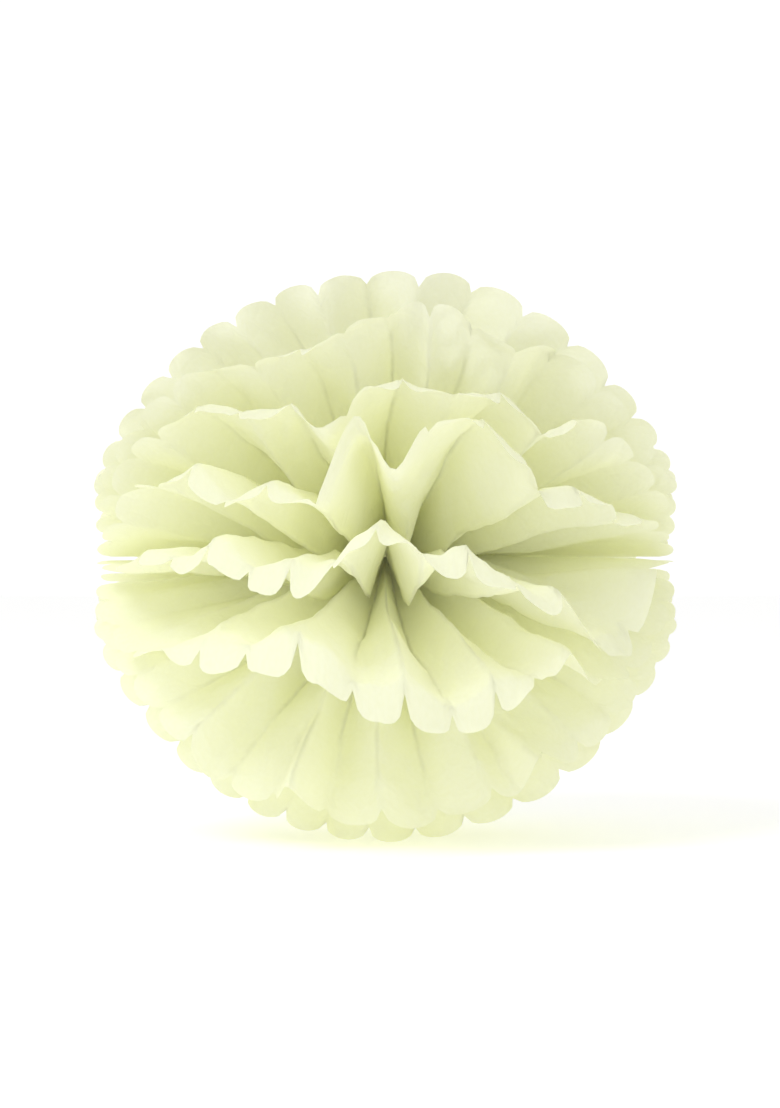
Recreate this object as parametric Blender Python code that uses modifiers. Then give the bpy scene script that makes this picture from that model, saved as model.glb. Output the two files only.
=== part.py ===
"""Tissue paper pom pom: a stack of pleated tissue sheets, wired at the middle and fanned out into a ball.

Every sheet is one rectangle of tissue. It is pleated across its length, its two ends are trimmed into
scallops, and the whole stack is squeezed into a neck by one turn of wire. The front half of each sheet
then opens like a fan towards -Y and the back half towards +Y, and each half is pulled up or down to its
own elevation, so the halves stand round the X axis like the pages of a book that is opened all the way.

Metres, +Z up. The origin is the centre of the wire tie, which is also the centre of the ball.
"""

import math

import bmesh
import bpy

# The paper.
SHEET_WIDTH = 0.250  # along the pleats, from one scalloped rim to the other
PLEATS = 18  # facets across the sheet's length of 375 mm
PLEAT_WIDTH = 0.375 / PLEATS
PAPER_THICKNESS = 0.0004  # tissue is far thinner: this is a solid that can be held and measured
SCALLOP_DEPTH = 0.006

# The neck, where the wire squeezes the stack.
NECK_HALF_WIDTH = 0.005
NECK_PITCH = 0.0008  # from one sheet to the next
NECK_EXIT = 0.0026  # how far from the tie's middle the outermost sheets turn up or down

CLOSING = 0.0022  # how far front and back close in on each other beyond the neck, on each side
CLOSING_LENGTH = 0.040

# The fan.
FAN_HALF_ANGLE = math.radians(89.5)
PLEAT_TILT = math.radians(14)  # the most that a pleat's fold stands off its sheet, seen from the tie
FOLD_ROWS = (0.0, 0.008, 0.022, 0.044, 0.070, 0.096)  # distances from the neck, before the rim

# The elevation of each sheet's front and back near the neck, and of its front rim at a few places
# across the fan, in degrees. Sheets run from the bottom one to the top one. The back is half a step
# round from the front, so that no gap between two sheets goes straight through the ball.
FRONT_ELEVATIONS = (-79, -60, -38, -15, 8, 30, 50, 69)
BACK_ELEVATIONS = (-66, -47, -26, -4, 18, 38, 57, 75)
FRONT_RIMS = (
    ((-80, -74), (-43, -78), (-20, -79), (0, -80), (20, -80), (43, -78), (80, -74)),
    (
        (-80, -58), (-43, -60), (-37, -69), (-23, -68), (-19, -54), (-11, -65), (0, -64),
        (7, -67), (14, -63), (26, -66), (31, -54), (42, -66), (60, -63), (80, -59),
    ),
    (
        (-80, -38), (-64, -45), (-46, -27), (-22, -16), (-14, -18), (0, -27), (20, -33),
        (33, -28), (37, -25), (45, -37), (60, -49), (80, -40),
    ),
    (
        (-80, -9), (-47, 2), (-33, 3), (-15, -6), (-5, 4), (3, 5), (12, -3), (24, -4),
        (36, -11), (51, -27), (58, -32), (68, -5), (80, -4),
    ),
    (
        (-80, 14), (-60, 26), (-44, 24), (-30, 15), (-13, 13), (-5, 23), (1, 16), (9, 28),
        (18, 29), (28, 26), (33, 17), (48, 18), (54, 13), (66, 18), (80, 16),
    ),
    (
        (-80, 34), (-58, 44), (-39, 42), (-20, 34), (-12, 25), (-3, 36), (9, 36),
        (25, 36), (32, 33), (45, 40), (60, 38), (80, 34),
    ),
    (
        (-80, 53), (-45, 56), (-30, 50), (-17, 49), (-3, 55), (8, 58), (22, 51),
        (37, 61), (60, 56), (80, 53),
    ),
    ((-80, 71), (-30, 73), (5, 73), (16, 78), (40, 75), (80, 71)),
)

# How far each sheet's end pleats bend away from level at -X and at +X, in mm up at the rim's very end.
LEFT_FLARES = (-24, -17, -11, -4, 0, 7, 15, 21)
RIGHT_FLARES = (-23, -17, -9, -4, 0, 6, 13, 22)
BACK_FLARE = 4  # how much further up, in mm, the back's end pleats are than the front's
FLARE_START = math.radians(48)  # the place across the fan where the bend starts

BACK_SWAY = 6  # how far, in degrees, a back rim wanders from its sheet's elevation
BACK_WAVES = (2.0, 3.0, 2.5, 3.5, 3.0, 2.0, 3.5, 2.5)  # waves across each back rim, over half a turn

# The wire tie: one turn round the neck, with its two ends twisted together above it.
WIRE_RADIUS = 0.0004
TIE_HALF_WIDTH = NECK_HALF_WIDTH + 0.0012
TIE_HALF_HEIGHT = 0.0044
TWIST_RADIUS = 0.00058
TWIST_LENGTH = 0.014
TWIST_PITCH = 0.005
TWIST_LEAN = 0.12  # towards -Y for each metre up, between the top sheet's two halves

PAPER_COLOUR = (0.874, 0.889, 0.491, 1.0)
WIRE_COLOUR = (0.62, 0.63, 0.64, 1.0)

SHEETS = len(FRONT_ELEVATIONS)
ROWS = len(FOLD_ROWS) + 1  # of folds' points on each side of the tie, with the rim


def clear_scene():
    """Removes every object of the open file."""
    for thing in list(bpy.data.objects):
        bpy.data.objects.remove(thing, do_unlink=True)


def make_material(name, colour, roughness, metallic):
    """A Principled material."""
    material = bpy.data.materials.new(name)
    material.use_nodes = True
    shader = material.node_tree.nodes["Principled BSDF"]
    shader.inputs["Base Color"].default_value = colour
    shader.inputs["Roughness"].default_value = roughness
    shader.inputs["Metallic"].default_value = metallic
    return material


def ease(share):
    """0 to 1, with a level start and end."""
    share = min(max(share, 0.0), 1.0)
    return share * share * (3 - 2 * share)


def between(knots, place):
    """The value at a place, eased from each knot (place, value) to the next."""
    if place <= knots[0][0]:
        return knots[0][1]
    for (low, value), (high, following) in zip(knots, knots[1:]):
        if place <= high:
            return value + (following - value) * ease((place - low) / (high - low))
    return knots[-1][1]


def rim_elevation(sheet, front, fan_angle):
    """The elevation in degrees of a sheet's rim, at an angle across its fan."""
    if front:
        return between(FRONT_RIMS[sheet], math.degrees(fan_angle))
    wave = math.sin(BACK_WAVES[sheet] * fan_angle * 2 + 1.7 * sheet)
    level = BACK_ELEVATIONS[sheet]
    return level + BACK_SWAY * wave * math.cos(math.radians(level)) ** 0.5


def pleat_lift(distance, fold):
    """How far a fold stands off the middle of its sheet. Folds go up and down by turns, and a point
    between two folds lies on the facet that joins them. The depth is what is left of the pleat's
    width once the facet has opened to its share of the fan."""
    arc = distance * 2 * FAN_HALF_ANGLE / PLEATS
    depth = math.sqrt(max(PLEAT_WIDTH**2 - arc**2, 0.0)) / 2
    depth = min(depth, distance * math.tan(PLEAT_TILT))
    return depth * (1 - 2 * abs(fold % 2 - 1))


def flare(sheet, front, fan_angle, share):
    """How far up a sheet's end pleats bend, at a share of the way from the neck to the rim."""
    end = (LEFT_FLARES if fan_angle < 0 else RIGHT_FLARES)[sheet] + (0 if front else BACK_FLARE)
    beyond = max(abs(fan_angle) - FLARE_START, 0.0) / (FAN_HALF_ANGLE - FLARE_START)
    return end * 0.001 * beyond**2 * ease(share)


def sheet_point(sheet, front, across, row):
    """A point of a sheet. across runs from -1 to 1 over the fan, and row counts from the tie, which
    is row 0, to the rim. Row 1 is where the sheet leaves the neck."""
    side = -1 if front else 1
    from_middle = sheet - (SHEETS - 1) / 2
    height = from_middle * NECK_PITCH
    exit_y = NECK_EXIT + ((SHEETS - 1) / 2 - abs(from_middle)) * NECK_PITCH
    start_x = across * NECK_HALF_WIDTH
    if row == 0:
        return (start_x, 0.0, height)

    reach = SHEET_WIDTH / 2 - exit_y
    fold = (across + 1) / 2 * PLEATS
    if row == ROWS:
        off_middle = 2 * abs(fold - round(fold))  # 0 on a fold, 1 in the middle of a facet
        distance = reach - SCALLOP_DEPTH * (1 - math.sqrt(1 - (1 - off_middle) ** 2))
    else:
        distance = FOLD_ROWS[row - 1]

    fan_angle = across * FAN_HALF_ANGLE
    start = (FRONT_ELEVATIONS if front else BACK_ELEVATIONS)[sheet]
    end = rim_elevation(sheet, front, fan_angle)
    elevation = math.radians(start + (end - start) * ease(distance / reach))
    lift = pleat_lift(distance, fold) * math.cos(fan_angle)
    outward = distance * math.cos(fan_angle)
    exit_y -= CLOSING * ease(distance / CLOSING_LENGTH)
    x = start_x + distance * math.sin(fan_angle)
    y = exit_y + outward * math.cos(elevation) - lift * math.sin(elevation)
    z = height + outward * math.sin(elevation) + lift * math.cos(elevation)
    return (x, side * y, z + flare(sheet, front, fan_angle, distance / reach))


def make_sheet(sheet, material, collection):
    """One sheet of tissue: a grid with a column for each pleat, folded to shape and thickened."""
    mesh = bmesh.new()
    bmesh.ops.create_grid(mesh, x_segments=PLEATS, y_segments=2 * ROWS, size=1.0)
    rims = [e for e in mesh.edges if all(abs(abs(v.co.y) - 1) < 1e-6 for v in e.verts)]
    bmesh.ops.subdivide_edges(mesh, edges=rims, cuts=2)
    for vertex in mesh.verts:
        row = round(vertex.co.y * ROWS)
        vertex.co = sheet_point(sheet, row < 0, vertex.co.x, abs(row))
    data = bpy.data.meshes.new(f"tissue_sheet_{sheet + 1}")
    mesh.to_mesh(data)
    mesh.free()
    data.materials.append(material)
    thing = bpy.data.objects.new(data.name, data)
    collection.objects.link(thing)
    solidify = thing.modifiers.new("paper", "SOLIDIFY")
    solidify.thickness = PAPER_THICKNESS
    solidify.offset = 0.0


def tie_points():
    """The wire's middle line: up one twisted end's helix, round the neck, and back up the other."""
    steps = round(TWIST_LENGTH / TWIST_PITCH * 8)
    mouth_height = TIE_HALF_HEIGHT + 0.0006
    helix = []
    for step in range(steps + 1):
        turn = 2 * math.pi * step / 8
        height = mouth_height + 0.0012 + TWIST_LENGTH * step / steps
        middle = -TWIST_LEAN * (height - mouth_height)
        helix.append((TWIST_RADIUS * math.cos(turn), TWIST_RADIUS * math.sin(turn), middle, height))
    ring = []
    corners = 24
    for corner in range(corners + 1):
        # The ring starts and ends beside the top, at the mouth that the two ends come out of.
        angle = math.radians(90 - 14) - math.radians(360 - 28) * corner / corners
        square = 0.5  # under 1, the turn is fuller than an ellipse
        x = TIE_HALF_WIDTH * math.copysign(abs(math.cos(angle)) ** square, math.cos(angle))
        z = TIE_HALF_HEIGHT * math.copysign(abs(math.sin(angle)) ** square, math.sin(angle))
        ring.append((x, 0.0, z))
    right = [(x, middle + y, z) for x, y, middle, z in reversed(helix)]
    left = [(-x, middle - y, z) for x, y, middle, z in helix]
    return right + ring + left


def make_tie(material, collection):
    """The wire tie: a bevelled curve with filled ends."""
    curve = bpy.data.curves.new("wire_tie", "CURVE")
    curve.dimensions = "3D"
    curve.bevel_depth = WIRE_RADIUS
    curve.bevel_resolution = 2
    curve.use_fill_caps = True
    points = tie_points()
    spline = curve.splines.new("POLY")
    spline.points.add(len(points) - 1)
    for target, point in zip(spline.points, points):
        target.co = (*point, 1.0)
    curve.materials.append(material)
    thing = bpy.data.objects.new("wire_tie", curve)
    collection.objects.link(thing)


def main():
    clear_scene()
    collection = bpy.data.collections.new("tissue_pom_pom")
    bpy.context.scene.collection.children.link(collection)
    paper = make_material("tissue_paper", PAPER_COLOUR, 0.85, 0.0)
    wire = make_material("florist_wire", WIRE_COLOUR, 0.4, 1.0)
    for sheet in range(SHEETS):
        make_sheet(sheet, paper, collection)
    make_tie(wire, collection)


main()
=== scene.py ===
"""Tissue paper pom pom: eight pleated sheets of tissue, wired at the middle and fanned out into a ball.

Each sheet is a grid of flat tissue that is pleated, gathered at the tie and fanned out. Its front half
opens towards -Y and its back half towards +Y, round the X axis, as the pages of a fully opened book do.
The folds and the rims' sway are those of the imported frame, and this script adds what tissue has on top:
scalloped ends, turned lips, slack between the folds, crumples and the paper's own light.
"""

import logging
import math
from dataclasses import dataclass, field
from enum import Enum

import bmesh
import bpy
import numpy as np
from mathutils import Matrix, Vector


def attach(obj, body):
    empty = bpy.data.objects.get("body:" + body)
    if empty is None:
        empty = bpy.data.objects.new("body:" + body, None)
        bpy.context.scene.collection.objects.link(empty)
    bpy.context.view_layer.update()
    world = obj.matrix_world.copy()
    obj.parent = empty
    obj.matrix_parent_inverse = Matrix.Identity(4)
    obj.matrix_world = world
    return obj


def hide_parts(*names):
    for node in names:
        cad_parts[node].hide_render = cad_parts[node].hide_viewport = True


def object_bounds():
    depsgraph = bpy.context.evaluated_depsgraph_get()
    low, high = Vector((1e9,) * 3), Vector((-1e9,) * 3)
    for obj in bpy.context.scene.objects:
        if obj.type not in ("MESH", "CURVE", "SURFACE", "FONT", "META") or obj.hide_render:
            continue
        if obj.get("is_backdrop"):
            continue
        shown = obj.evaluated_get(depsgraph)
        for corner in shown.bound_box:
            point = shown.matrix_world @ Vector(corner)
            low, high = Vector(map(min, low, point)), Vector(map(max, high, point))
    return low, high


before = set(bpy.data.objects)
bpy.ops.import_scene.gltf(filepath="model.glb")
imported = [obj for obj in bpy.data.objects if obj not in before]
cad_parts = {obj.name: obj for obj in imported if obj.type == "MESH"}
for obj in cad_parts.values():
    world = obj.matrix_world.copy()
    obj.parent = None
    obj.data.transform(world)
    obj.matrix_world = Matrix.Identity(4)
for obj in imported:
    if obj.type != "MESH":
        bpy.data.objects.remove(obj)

LOG = logging.getLogger("pom_pom")
MM = 0.001
SHEETS = 8
FLAT_WIDTH, FLAT_LENGTH = 0.250, 0.375  # of each sheet, rim to rim and across the pleats

Knots = tuple[tuple[float, float], ...]


class Half(Enum):
    """The two halves that a sheet has beside the tie."""

    FRONT = -1
    BACK = 1


def linear(hex_colour: str) -> tuple[float, float, float, float]:
    """Turns an sRGB hex colour to linear.

    Args:
        hex_colour: six hex digits with a leading hash.

    Returns:
        Red, green, blue and alpha, linear.
    """
    parts = [int(hex_colour[at : at + 2], 16) / 255 for at in (1, 3, 5)]
    red, green, blue = (p / 12.92 if p <= 0.04045 else ((p + 0.055) / 1.055) ** 2.4 for p in parts)
    return (red, green, blue, 1.0)


def add_node(tree: bpy.types.NodeTree, kind: str, settings: dict | None = None, **links) -> bpy.types.Node:
    """Adds a shader node.

    Args:
        tree: the node tree to add to.
        kind: the node's type name.
        settings: attributes of the node, and values of inputs by their name or number.
        links: inputs by name, with underscores for spaces, and the output that each is linked from.

    Returns:
        The new node.
    """
    node = tree.nodes.new(kind)
    for name, value in (settings or {}).items():
        if isinstance(name, int) or name in node.inputs:
            node.inputs[name].default_value = value
        else:
            setattr(node, name, value)
    for name, source in links.items():
        key = int(name[1:]) if name[0] == "_" else name.replace("_", " ")
        tree.links.new(source, node.inputs[key])
    return node


def ease(share: np.ndarray) -> np.ndarray:
    """0 to 1 with a level start and end."""
    share = np.clip(share, 0.0, 1.0)
    return share * share * (3 - 2 * share)


def between(knots: Knots, places: np.ndarray) -> np.ndarray:
    """Reads a value that eases from each knot to the next.

    Args:
        knots: pairs of a place and the value there, in order of place.
        places: where to read.

    Returns:
        The values.
    """
    values = np.full_like(places, float(knots[0][1]))
    for (low, value), (high, following) in zip(knots, knots[1:]):
        here = places > low
        values[here] = value + (following - value) * ease((places[here] - low) / (high - low))
    return values


def grain(across: np.ndarray, along: np.ndarray, seed: int) -> np.ndarray:
    """Smooth noise over a plane, from slopes at the corners of unit squares.

    Args:
        across: places in the first direction, in noise cells.
        along: places in the second direction.
        seed: which noise.

    Returns:
        Values from about -0.7 to 0.7.
    """
    slopes = np.random.default_rng(seed).uniform(0, 2 * math.pi, (256, 256))
    column, row = np.floor(across).astype(int), np.floor(along).astype(int)
    right, up = across - column, along - row
    total = np.zeros_like(across)
    for step_x in (0, 1):
        for step_y in (0, 1):
            angle = slopes[(column + step_x) % 256, (row + step_y) % 256]
            weight = ease(1 - np.abs(right - step_x)) * ease(1 - np.abs(up - step_y))
            total += weight * (np.cos(angle) * (right - step_x) + np.sin(angle) * (up - step_y))
    return total


def creases(across: np.ndarray, along: np.ndarray, seed: int) -> np.ndarray:
    """Crumpled paper: flat facets that meet in sharp ridges, 0 to about 1."""
    return 1 - np.abs(grain(across, along, seed)) * 2.2


@dataclass(frozen=True)
class Pleating:
    """How the stack is pleated, tied and fanned. Lengths in metres and angles in radians."""

    pleats: int = 18
    scallop_depth: float = 6 * MM
    neck_half_width: float = 5 * MM
    neck_pitch: float = 0.8 * MM
    neck_exit: float = 2.6 * MM
    closing: float = 2.2 * MM
    closing_length: float = 40 * MM
    fan_half_angle: float = math.radians(89.5)
    pleat_tilt: float = math.radians(14)
    flare_start: float = math.radians(48)
    back_flare: float = 4 * MM  # how far the back's end pleats stand above the front's

    @property
    def pleat_width(self) -> float:
        """The width of one facet."""
        return FLAT_LENGTH / self.pleats

    @property
    def cut_area(self) -> float:
        """The flat area of a sheet whose two ends are trimmed to scallops."""
        lost = 0.43 * self.scallop_depth * self.pleat_width / 2
        return FLAT_WIDTH * FLAT_LENGTH - 2 * self.pleats * lost

    def lift(self, distance: np.ndarray, fold: np.ndarray) -> np.ndarray:
        """How far the paper stands off the middle of its sheet where it is pleated.

        Args:
            distance: from the neck.
            fold: places across the fan, counted in folds.

        Returns:
            Heights, up and down by turns of the folds.
        """
        arc = distance * 2 * self.fan_half_angle / self.pleats
        depth = np.sqrt(np.maximum(self.pleat_width**2 - arc**2, 0)) / 2
        depth = np.minimum(depth, distance * math.tan(self.pleat_tilt))
        return depth * (1 - 2 * np.abs(fold % 2 - 1))


@dataclass(frozen=True)
class TissuePaper:
    """Dyed tissue paper: thin, matte and unsized, so that light goes through it and warms at each pass.

    Light that is shut in between the sheets loses its blue at every bounce, which is what turns the
    gaps to a deep yellow beside the pale rims.
    """

    front: str = "#fbfcf0"
    through: str = "#fbfcd2"
    share_through: float = 0.42
    fibre_mm: float = 1.6  # real fibres are finer: this is the coarsest clump that shows
    wrinkle_mm: float = 9.0

    def make(self) -> bpy.types.Material:
        """Builds the material.

        Returns:
            The tissue's material.
        """
        material = bpy.data.materials.new("dyed_tissue_paper")
        material.use_nodes = True
        tree = material.node_tree
        tree.nodes.clear()
        flat = add_node(tree, "ShaderNodeUVMap", {"uv_map": "flat_sheet"})
        # The flat sheet's own metres, so that fibres and wrinkles follow the paper through its folds.
        fibres = add_node(
            tree, "ShaderNodeTexNoise", {"Scale": 1 / (self.fibre_mm * MM), "Detail": 1.0},
            Vector=flat.outputs["UV"],
        )
        wrinkles = add_node(
            tree, "ShaderNodeTexVoronoi",
            {"feature": "DISTANCE_TO_EDGE", "Scale": 1 / (self.wrinkle_mm * MM)},
            Vector=add_node(
                tree, "ShaderNodeVectorMath", {"operation": "ADD"}, _0=flat.outputs["UV"],
                _1=add_node(
                    tree, "ShaderNodeVectorMath", {"operation": "SCALE", "Scale": 3.5 * MM},
                    _0=add_node(
                        tree, "ShaderNodeTexNoise", {"Scale": 1 / (14 * MM), "Detail": 1.0},
                        Vector=flat.outputs["UV"],
                    ).outputs["Color"],
                ).outputs["Vector"],
            ).outputs["Vector"],
        )
        ridge = add_node(
            tree, "ShaderNodeMapRange",
            {"From Min": 0.0, "From Max": 0.16, "To Min": 1.0, "To Max": 0.0, "interpolation_type": "SMOOTHSTEP"},
            Value=wrinkles.outputs["Distance"],
        )
        cloud = add_node(
            tree, "ShaderNodeMapRange", {"From Min": 0.35, "From Max": 0.65, "To Min": 0.0, "To Max": 1.0},
            Value=fibres.outputs["Fac"],
        )
        relief = add_node(
            tree, "ShaderNodeMath", {"operation": "MULTIPLY_ADD", 1: 0.35}, _0=ridge.outputs["Result"],
            _2=add_node(
                tree, "ShaderNodeMath", {"operation": "MULTIPLY", 1: 0.10}, _0=cloud.outputs["Result"]
            ).outputs["Value"],
        )
        bump = add_node(
            tree, "ShaderNodeBump", {"Strength": 0.55, "Distance": 0.5 * MM}, Height=relief.outputs["Value"]
        )
        tone = add_node(
            tree, "ShaderNodeMix",
            {"data_type": "RGBA", 6: linear(self.front), 7: linear("#fdfef5")},
            Factor=cloud.outputs["Result"],
        )
        surface = add_node(
            tree, "ShaderNodeBsdfPrincipled",
            {"Roughness": 0.85, "Specular IOR Level": 0.1},
            Base_Color=tone.outputs[2], Normal=bump.outputs["Normal"],
        )
        glow = add_node(
            tree, "ShaderNodeBsdfTranslucent", {"Color": linear(self.through)}, Normal=bump.outputs["Normal"]
        )
        both = add_node(
            tree, "ShaderNodeMixShader", {0: self.share_through},
            _1=surface.outputs["BSDF"], _2=glow.outputs["BSDF"],
        )
        add_node(tree, "ShaderNodeOutputMaterial", Surface=both.outputs["Shader"])
        return material


@dataclass(frozen=True)
class FloristWire:
    """Galvanised florist's wire: drawn steel with a thin zinc coat, dull and a little streaked along."""

    zinc: str = "#a9adb0"
    dull_zinc: str = "#8d9194"
    streak_mm: float = 0.6

    def make(self) -> bpy.types.Material:
        """Builds the material.

        Returns:
            The wire's material.
        """
        material = bpy.data.materials.new("galvanised_wire")
        material.use_nodes = True
        tree = material.node_tree
        tree.nodes.clear()
        place = add_node(tree, "ShaderNodeTexCoord")
        streaks = add_node(
            tree, "ShaderNodeTexNoise", {"Scale": 1 / (self.streak_mm * MM), "Detail": 3.0},
            Vector=place.outputs["Object"],
        )
        tone = add_node(
            tree, "ShaderNodeMix", {"data_type": "RGBA", 6: linear(self.zinc), 7: linear(self.dull_zinc)},
            Factor=streaks.outputs["Fac"],
        )
        dull = add_node(
            tree, "ShaderNodeMapRange", {"To Min": 0.3, "To Max": 0.55}, Value=streaks.outputs["Fac"]
        )
        surface = add_node(
            tree, "ShaderNodeBsdfPrincipled", {"Metallic": 1.0},
            Base_Color=tone.outputs[2], Roughness=dull.outputs["Result"],
        )
        add_node(tree, "ShaderNodeOutputMaterial", Surface=surface.outputs["BSDF"])
        return material


@dataclass
class TissueSheet:
    """One sheet of tissue, from its front rim through the tie to its back rim.

    Angles are in degrees: elevations above level, and places across the fan from -90 at -X to 90 at +X.
    """

    number: int
    front_elevation: float
    back_elevation: float
    front_rim: Knots
    back_waves: float
    flares: tuple[float, float] = (0.0, 0.0)  # how far up the end pleats bend at -X and +X, in mm
    lip: Knots = ((0, 0),)  # how far the front rim's last few millimetres turn down, in degrees
    back_sway: float = 6.0
    columns_per_pleat: int = 10
    rows: int = 64  # from the tie to each rim
    lip_width: float = 9 * MM
    crumple: float = 3.0 * MM
    buckle: float = 9.0  # about the most that a petal bends off its elevation, in degrees
    swing: float = math.radians(4)  # how far the pleats curve sideways on their way to the rim
    pleating: Pleating = field(default_factory=Pleating)

    @property
    def name(self) -> str:
        """The piece's name."""
        return f"tissue_leaf_{self.number}"

    @property
    def node(self) -> str:
        """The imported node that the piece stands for."""
        return f"tissue_sheet_{self.number}"

    def rim_elevation(self, half: Half, fan_angle: np.ndarray) -> np.ndarray:
        """The elevation of the rim.

        Args:
            half: which half of the sheet.
            fan_angle: places across the fan, in radians.

        Returns:
            Elevations in degrees.
        """
        if half is Half.FRONT:
            return between(self.front_rim, np.degrees(fan_angle))
        wave = np.sin(self.back_waves * fan_angle * 2 + 1.7 * (self.number - 1))
        level = self.back_elevation
        return level + self.back_sway * wave * math.cos(math.radians(level)) ** 0.5

    def fold_sway(self, half: Half, fold: np.ndarray) -> np.ndarray:
        """How deep each pleat has stayed, about 1, because some are pulled open and some stay shut."""
        rng = np.random.default_rng(100 * self.number + (half is Half.BACK))
        depths = rng.uniform(1.05, 1.35, self.pleating.pleats + 1)
        return np.interp(fold, np.arange(self.pleating.pleats + 1), depths)

    def shape_half(self, half: Half, across: np.ndarray, share: np.ndarray) -> np.ndarray:
        """Places points of one half of the sheet.

        Args:
            half: which half.
            across: places over the fan, -1 to 1.
            share: places along the pleats, 0 at the tie to 1 at the rim.

        Returns:
            An array of points, one row each, in metres.
        """
        p = self.pleating
        from_middle = self.number - 1 - (SHEETS - 1) / 2
        height = from_middle * p.neck_pitch
        exit_y = p.neck_exit + ((SHEETS - 1) / 2 - abs(from_middle)) * p.neck_pitch
        reach = FLAT_WIDTH / 2 - exit_y
        along = share * FLAT_WIDTH / 2
        distance = np.maximum(along - exit_y, 0)
        in_neck = np.minimum(along, exit_y)

        fold = (across + 1) / 2 * p.pleats
        off_middle = 2 * np.abs(fold - np.round(fold))
        scallop = p.scallop_depth * (1 - np.sqrt(np.maximum(1 - (1 - off_middle) ** 2, 0)))
        distance = distance - scallop * ease((distance - 0.75 * reach) / (0.25 * reach))

        fan = across * p.fan_half_angle
        swing = np.sin(2.3 * fan + 1.9 * self.number + 2.4 * distance / reach)
        fan = fan + self.swing * swing * ease(distance / reach) * (1 - across**2)
        start = self.front_elevation if half is Half.FRONT else self.back_elevation
        rim = self.rim_elevation(half, fan)
        elevation = start + (rim - start) * ease(distance / reach)
        if half is Half.FRONT:
            turn = ease((distance - reach + self.lip_width) / self.lip_width)
            elevation = elevation - between(self.lip, np.degrees(fan)) * turn * self.lip_width / reach
        elevation = np.radians(elevation + self.buckles(half, fan, distance))

        lift = p.lift(distance, fold) * self.fold_sway(half, fold)
        lift = (lift + self.crumples(half, across, distance)) * np.cos(fan)
        outward = distance * np.cos(fan)
        closing = p.closing * ease(distance / p.closing_length)
        x = across * p.neck_half_width + distance * np.sin(fan)
        y = in_neck - closing + outward * np.cos(elevation) - lift * np.sin(elevation)
        z = height + outward * np.sin(elevation) + lift * np.cos(elevation)
        end = np.where(fan < 0, *self.flares) * MM + (p.back_flare if half is Half.BACK else 0)
        beyond = np.maximum(np.abs(fan) - p.flare_start, 0) / (p.fan_half_angle - p.flare_start)
        z = z + end * beyond**2 * ease(distance / reach)
        return np.stack([x, half.value * y, z], axis=-1)

    def buckles(self, half: Half, fan: np.ndarray, distance: np.ndarray) -> np.ndarray:
        """The broad bends of the petals, most of which neighbouring sheets share as they lie together.

        Args:
            half: which half of the sheet.
            fan: places across the fan, in radians.
            distance: from the neck, in metres.

        Returns:
            What the bends add to the elevation, in degrees.
        """
        place = np.degrees(fan)
        shared = grain(place / 27 + 9, distance / 0.050 + 3, 77 + half.value)
        own = grain(place / 16 + 5, distance / 0.034 + 2, 900 + 10 * self.number + half.value)
        grown = ease(distance / 0.05) * (1 - 0.5 * ease((distance - 0.06) / 0.06))
        return (self.buckle * shared + 0.35 * self.buckle * own) * grown

    def crumples(self, half: Half, across: np.ndarray, distance: np.ndarray) -> np.ndarray:
        """The wrinkles of handled tissue: sharp-edged facets about 15 mm wide, and finer ones on them.

        Args:
            half: which half of the sheet.
            across: places over the fan, -1 to 1.
            distance: from the neck, in metres.

        Returns:
            How far each point is pushed off the sheet, in metres.
        """
        seed = 10 * self.number + (half is Half.BACK)
        # Places on the flat sheet, in metres, so that the facets narrow towards the tie with the paper.
        wide, long = across * FLAT_LENGTH / 2, distance
        coarse = creases(wide / 0.026 + 31, long / 0.034 + 17, seed)
        fine = creases(wide / 0.011 + 5, long / 0.015 + 11, seed + 500)
        grown = ease(distance / 0.05)
        return self.crumple * grown * (coarse - 0.55 + 0.5 * (fine - 0.55))

    def build(self) -> bpy.types.Object:
        """Folds a flat grid of tissue to shape.

        Returns:
            The sheet's object.
        """
        columns = self.pleating.pleats * self.columns_per_pleat
        sheet = bmesh.new()
        bmesh.ops.create_grid(sheet, x_segments=columns, y_segments=2 * self.rows, size=1.0, calc_uvs=False)
        mesh = bpy.data.meshes.new(self.name)
        sheet.to_mesh(mesh)
        sheet.free()

        flat = np.empty(len(mesh.vertices) * 3)
        mesh.vertices.foreach_get("co", flat)
        across, along = flat.reshape(-1, 3)[:, 0], flat.reshape(-1, 3)[:, 1]
        self.lay_out(mesh, across, along)
        points = np.empty((len(across), 3))
        for half in Half:
            here = along * half.value >= 0
            points[here] = self.shape_half(half, across[here], np.abs(along[here]))
        mesh.vertices.foreach_set("co", points.ravel())
        mesh.shade_smooth()
        mesh.update()
        piece = bpy.data.objects.new(self.name, mesh)
        bpy.context.scene.collection.objects.link(piece)
        return piece

    def lay_out(self, mesh: bpy.types.Mesh, across: np.ndarray, along: np.ndarray) -> None:
        """Gives the mesh a UV map in the flat sheet's own metres.

        Args:
            mesh: the sheet's mesh.
            across: each vertex's place across the pleats, -1 to 1.
            along: each vertex's place along the pleats, -1 to 1.
        """
        layer = mesh.uv_layers.new(name="flat_sheet")
        corners = np.empty(len(mesh.loops), dtype=np.int32)
        mesh.loops.foreach_get("vertex_index", corners)
        shift = self.number * 0.5  # so that no two sheets share their fibres
        places = np.stack([across * FLAT_LENGTH / 2 + shift, along * FLAT_WIDTH / 2], axis=-1)
        layer.uv.foreach_set("vector", places[corners].ravel())

    def dress(self, piece: bpy.types.Object, paper: bpy.types.Material) -> None:
        """Gives the sheet its paper and tells the frame what it is.

        Args:
            piece: the sheet's object.
            paper: the tissue's material.
        """
        piece.data.materials.append(paper)
        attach(piece, "root")
        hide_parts(self.node)


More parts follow.
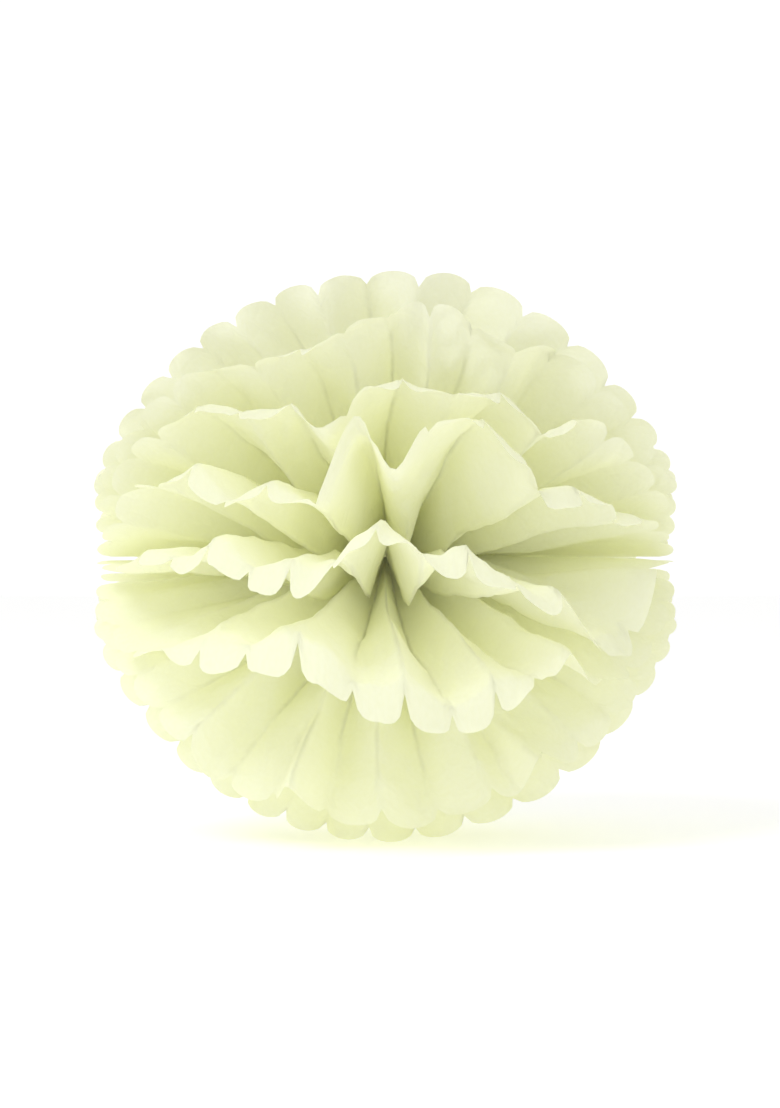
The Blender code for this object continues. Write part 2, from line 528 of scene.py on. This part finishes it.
@dataclass
class PomPom:
    """The whole ball, with its sheets from the bottom one to the top one."""

    fronts: tuple[float, ...] = (-79, -60, -38, -15, 8, 30, 50, 69)
    backs: tuple[float, ...] = (-66, -47, -26, -4, 18, 38, 57, 75)
    waves: tuple[float, ...] = (2.0, 3.0, 2.5, 3.5, 3.0, 2.0, 3.5, 2.5)
    rims: tuple[Knots, ...] = (
        ((-80, -74), (-43, -78), (-20, -79), (0, -80), (20, -80), (43, -78), (80, -74)),
        (
            (-80, -58), (-43, -60), (-37, -69), (-23, -68), (-19, -54), (-11, -65), (0, -64),
            (7, -67), (14, -63), (26, -66), (31, -54), (42, -66), (60, -63), (80, -59),
        ),
        (
            (-80, -38), (-64, -45), (-46, -27), (-22, -16), (-14, -18), (0, -27), (20, -33),
            (33, -28), (37, -25), (45, -37), (60, -49), (80, -40),
        ),
        (
            (-80, -9), (-47, 2), (-33, 3), (-16, -2), (-5, 4), (3, 5), (12, 0), (24, -4),
            (36, -11), (51, -27), (58, -32), (68, -5), (80, -4),
        ),
        (
            (-80, 14), (-60, 26), (-44, 24), (-30, 15), (-13, 13), (-5, 23), (1, 16), (9, 28),
            (18, 29), (28, 26), (33, 17), (48, 18), (54, 13), (66, 18), (80, 16),
        ),
        (
            (-80, 34), (-58, 44), (-39, 42), (-20, 34), (-12, 25), (-3, 36), (9, 36),
            (25, 36), (32, 33), (45, 40), (60, 38), (80, 34),
        ),
        (
            (-80, 53), (-45, 56), (-30, 50), (-17, 49), (-3, 55), (8, 58), (22, 51),
            (37, 61), (60, 56), (80, 53),
        ),
        ((-80, 71), (-30, 73), (5, 73), (16, 78), (40, 75), (80, 71)),
    )
    left_flares: tuple[float, ...] = (-24, -17, -11, -2.2, -1.8, 7, 15, 21)
    right_flares: tuple[float, ...] = (-23, -17, -9, -2.2, -1.8, 6, 13, 22)
    lips: dict[int, Knots] = field(default_factory=lambda: {
        2: ((-60, 0), (-40, 50), (-20, 0), (10, 40), (30, 0), (45, 50), (60, 0)),
        3: ((-50, 0), (-38, 60), (-24, 90), (20, 80), (36, 0)),
        4: ((-70, 0), (-50, 60), (-20, 85), (-8, 40), (4, 30), (14, 80), (25, 60), (36, 40), (58, 95), (72, 0)),
        5: ((-64, 0), (-40, 70), (-22, 40), (-6, -50), (4, 0), (28, 85), (60, 30), (72, 0)),
        6: ((-60, 0), (-44, 60), (-24, 70), (-12, 0), (4, 50), (30, 80), (50, 0)),
        7: ((-50, 0), (-30, 50), (-10, 60), (10, 0), (30, 60), (50, 0)),
    })

    def sheets(self) -> list[TissueSheet]:
        """The eight sheets."""
        return [
            TissueSheet(
                number, self.fronts[number - 1], self.backs[number - 1], self.rims[number - 1],
                self.waves[number - 1],
                flares=(self.left_flares[number - 1], self.right_flares[number - 1]), lip=self.lips.get(number, ((0, 0),)),
            )
            for number in range(1, SHEETS + 1)
        ]

    def build(self) -> None:
        """Builds and dresses every piece."""
        paper = TissuePaper().make()
        for sheet in self.sheets():
            piece = sheet.build()
            sheet.dress(piece, paper)
            LOG.info("%s: %d faces, for %s", piece.name, len(piece.data.polygons), sheet.node)
        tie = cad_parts["wire_tie"]
        wire = FloristWire().make()
        tie.data.materials.clear()
        tie.data.materials.append(wire)
        LOG.info("wire_tie: the packed node, in galvanised wire")


@dataclass
class Studio:
    """A pale floor, soft light from all round with a key light at the upper left, and a level camera."""

    lowest: float
    floor_size: float = 14.0
    camera_distance: float = 1.2
    view_width: float = 0.3400  # of the picture, at the ball's middle
    view_shift: float = 2.0 * MM

    def floor(self) -> None:
        """Lays the floor that the ball stands on."""
        slab = bmesh.new()
        bmesh.ops.create_grid(slab, x_segments=1, y_segments=1, size=self.floor_size / 2)
        bmesh.ops.translate(slab, verts=slab.verts, vec=(0, 0, self.lowest))
        mesh = bpy.data.meshes.new("floor")
        slab.to_mesh(mesh)
        slab.free()
        floor = bpy.data.objects.new("floor", mesh)
        bpy.context.scene.collection.objects.link(floor)
        material = bpy.data.materials.new("lit_opal_acrylic")
        material.use_nodes = True
        shader = material.node_tree.nodes["Principled BSDF"]
        shader.inputs["Base Color"].default_value = linear("#fbfbfa")
        shader.inputs["Roughness"].default_value = 0.9
        shader.inputs["Specular IOR Level"].default_value = 0.1
        shader.inputs["Emission Color"].default_value = linear("#ffffff")
        shader.inputs["Emission Strength"].default_value = 0.25
        mesh.materials.append(material)
        floor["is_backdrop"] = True

    def world(self, behind: float = 1.06, before: float = 0.74) -> None:
        """Lights the studio softly from all round, with a white wall far behind the ball.

        Args:
            behind: the brightness of the wall at +Y.
            before: the brightness of the other surroundings.
        """
        world = bpy.data.worlds.new("soft_studio")
        world.use_nodes = True
        tree = world.node_tree
        way = add_node(tree, "ShaderNodeTexCoord")
        parts = add_node(tree, "ShaderNodeSeparateXYZ", Vector=way.outputs["Generated"])
        glow = add_node(
            tree, "ShaderNodeMapRange",
            {
                "From Min": 0.6, "From Max": 0.95, "To Min": before, "To Max": behind,
                "interpolation_type": "SMOOTHSTEP",
            },
            Value=parts.outputs["Y"],
        )
        tree.links.new(glow.outputs["Result"], tree.nodes["Background"].inputs["Strength"])
        tree.nodes["Background"].inputs["Color"].default_value = linear("#ffffff")
        bpy.context.scene.world = world

    def lamp(self, name: str, place: tuple[float, float, float], size: float, power: float) -> None:
        """Adds a square soft box that faces the ball.

        Args:
            name: the lamp's name.
            place: where it stands, in metres.
            size: the side of the square, in metres.
            power: in watts.
        """
        light = bpy.data.lights.new(name, "AREA")
        light.size = size
        light.energy = power
        lamp = bpy.data.objects.new(name, light)
        lamp.location = place
        lamp.rotation_euler = Vector(place).to_track_quat("Z", "Y").to_euler()
        bpy.context.scene.collection.objects.link(lamp)

    def camera(self) -> None:
        """Sets a level camera in front of the ball."""
        data = bpy.data.cameras.new("camera")
        data.sensor_fit = "HORIZONTAL"
        data.sensor_width = 36.0
        data.lens = 36.0 * self.camera_distance / self.view_width
        camera = bpy.data.objects.new("camera", data)
        camera.location = (self.view_shift, -self.camera_distance, 0.0)
        camera.rotation_euler = (math.radians(90), 0, 0)
        bpy.context.scene.collection.objects.link(camera)
        bpy.context.scene.camera = camera

    def render_look(self) -> None:
        """Keeps the paper's true colours, and lets light bounce often enough to fill the gaps."""
        scene = bpy.context.scene
        scene.view_settings.view_transform = "Standard"
        scene.cycles.max_bounces = 10
        scene.cycles.diffuse_bounces = 7
        scene.cycles.transmission_bounces = 7

    def build(self) -> None:
        """Builds the whole studio."""
        self.floor()
        self.world()
        self.lamp("key_light", (-1.1, -1.2, 1.6), 0.9, 15.0)
        self.camera()
        self.render_look()


def main() -> None:
    """Builds the pom pom and its studio."""
    logging.basicConfig(level=logging.INFO, format="%(name)s: %(message)s")
    packed = [list(corner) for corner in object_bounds()]
    PomPom().build()
    Studio(lowest=packed[0][2] - 0.5 * MM).build()


if __name__ == "__main__":
    main()
